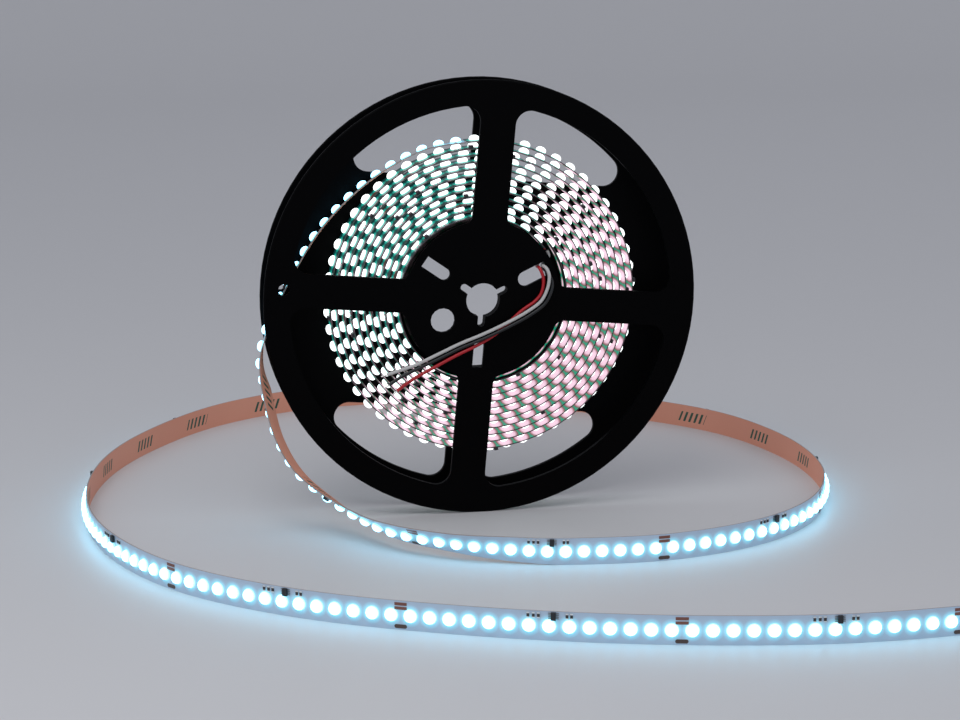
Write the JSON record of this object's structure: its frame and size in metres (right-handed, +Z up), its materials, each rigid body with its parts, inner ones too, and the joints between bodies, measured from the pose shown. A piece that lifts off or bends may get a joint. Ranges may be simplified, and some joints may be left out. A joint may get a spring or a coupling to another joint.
{
  "type": "led strip light reel",
  "caption": "Open plastic reel of LED strip light standing on its rims, with the strip's outer length peeled off and looped round it on edge, and short leads on the hub.",
  "frame": {"origin": "on the surface that the reel stands on, below the middle of its axis", "axes": "+Z up, +Y along the reel's axis towards its back flange, +X to the right seen from the front"},
  "size_m": [0.3985, 0.3965, 0.1819],
  "materials": {
    "reel": "satin black",
    "board": "white solder mask with lit LEDs",
    "liner": "waxed paper",
    "chip": "matte black",
    "lead_white": "satin",
    "lead_black": "satin",
    "lead_red": "satin"
  },
  "bodies": {
    "root": {"front_flange": "reel", "back_flange": "reel", "winding_core": "reel", "wound_strip": "board", "loose_strip": "board", "loose_liner": "liner", "lead_white": "lead_white", "lead_black": "lead_black", "lead_red": "lead_red", "driver_chip_01": "chip", "driver_chip_02": "chip", "driver_chip_03": "chip", "driver_chip_04": "chip", "driver_chip_05": "chip", "driver_chip_06": "chip", "driver_chip_07": "chip", "driver_chip_08": "chip", "driver_chip_09": "chip", "driver_chip_10": "chip", "driver_chip_11": "chip", "driver_chip_12": "chip", "driver_chip_13": "chip", "driver_chip_14": "chip", "driver_chip_15": "chip"}
  },
  "joints": []
}
